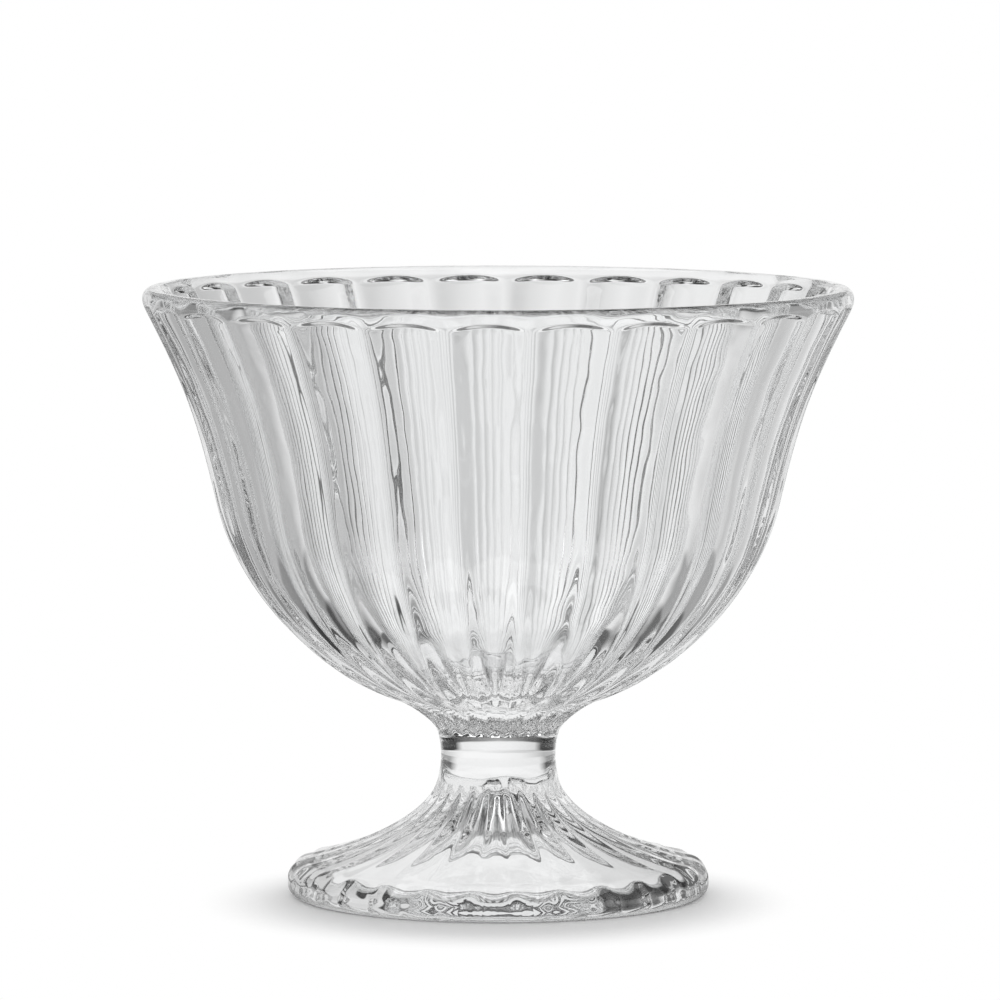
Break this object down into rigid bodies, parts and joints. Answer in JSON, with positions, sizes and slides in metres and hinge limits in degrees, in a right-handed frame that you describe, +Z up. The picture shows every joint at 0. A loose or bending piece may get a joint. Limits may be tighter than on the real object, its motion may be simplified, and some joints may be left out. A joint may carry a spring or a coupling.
{
  "type": "footed dessert glass",
  "caption": "Wide footed dessert or parfait coupe in clear pressed glass: flared fluted bowl, short plain waisted stem and spreading fluted foot, hollow below.",
  "frame": {"origin": "on the table plane, at the centre of the foot", "axes": "+Z up along the axis of the glass, -Y towards the viewer in the picture, +X to the viewer's right"},
  "size_m": [0.1198, 0.1198, 0.103],
  "materials": {
    "bowl_glass": "clear fire-polished",
    "stem_glass": "clear fire-polished",
    "foot_glass": "clear fire-polished"
  },
  "bodies": {
    "root": {"bowl": "bowl_glass", "stem": "stem_glass", "foot": "foot_glass"}
  },
  "joints": []
}
